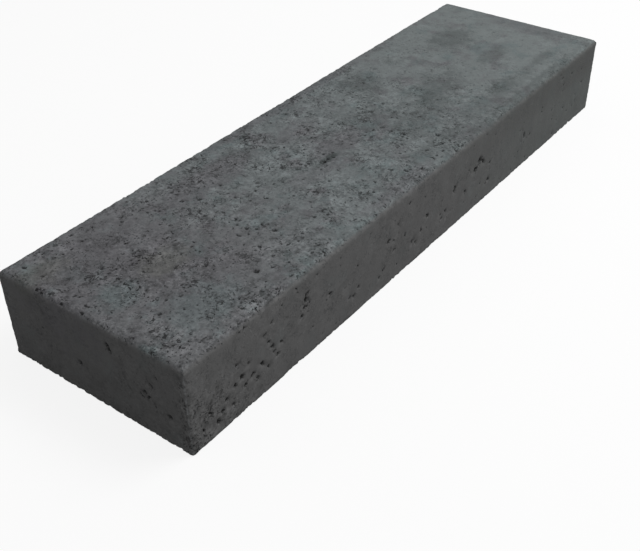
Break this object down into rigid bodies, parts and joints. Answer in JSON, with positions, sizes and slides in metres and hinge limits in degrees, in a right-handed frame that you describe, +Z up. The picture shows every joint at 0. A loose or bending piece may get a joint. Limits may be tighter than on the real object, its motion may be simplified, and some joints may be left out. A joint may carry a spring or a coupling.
{
  "type": "concrete block step",
  "caption": "Solid rectangular block of cast concrete with softly rounded tread edges, laid as the tread and riser of an outdoor stair.",
  "frame": {"origin": "middle of the underside, on the ground", "axes": "+Z up, +X along the step across the stair, -Y towards the riser face, +Y towards the back face"},
  "size_m": [1.2, 0.35, 0.15],
  "materials": {
    "concrete": "cast charcoal concrete, matt, fine pits and grain"
  },
  "bodies": {
    "root": {"block_step": "concrete"}
  },
  "joints": []
}
